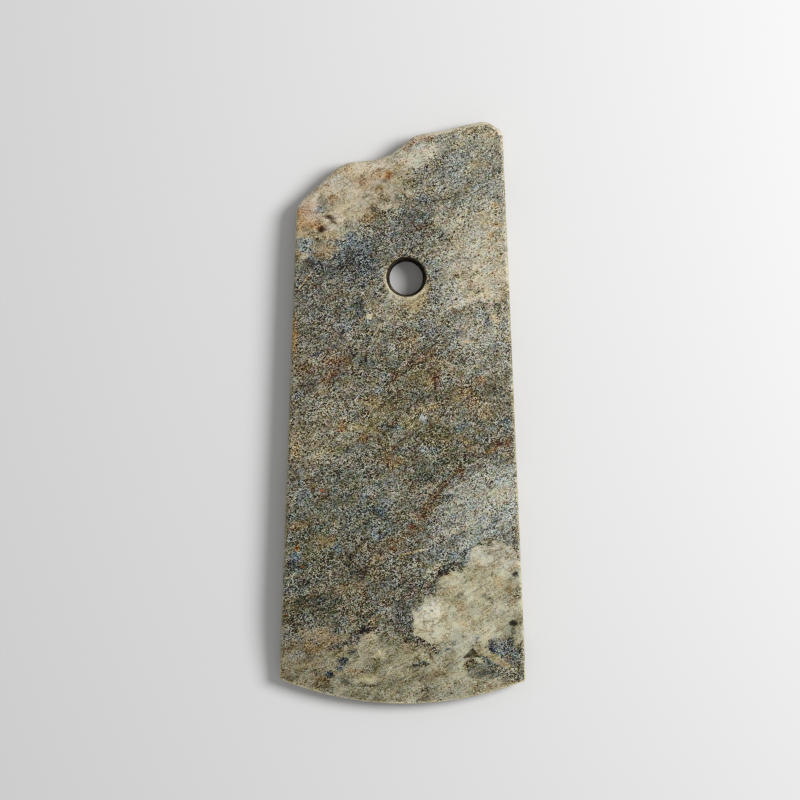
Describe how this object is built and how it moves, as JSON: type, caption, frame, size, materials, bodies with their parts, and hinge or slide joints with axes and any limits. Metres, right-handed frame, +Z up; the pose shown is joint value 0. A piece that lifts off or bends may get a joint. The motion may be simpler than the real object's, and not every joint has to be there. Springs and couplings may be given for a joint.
{
  "type": "jade axe blade",
  "caption": "Flat trapezoid stone axe blade with a bowed cutting edge, a broken uneven butt and a drilled hole for its lashing.",
  "frame": {"origin": "on the table, under the middle of the box around the blade", "axes": "+Z up out of the front face, +Y from the cutting edge to the butt"},
  "size_m": [0.0762, 0.18, 0.0085],
  "materials": {
    "weathered_jade": "worn satin polish, mottled and speckled"
  },
  "bodies": {
    "root": {"axe_blade": "weathered_jade"}
  },
  "joints": []
}
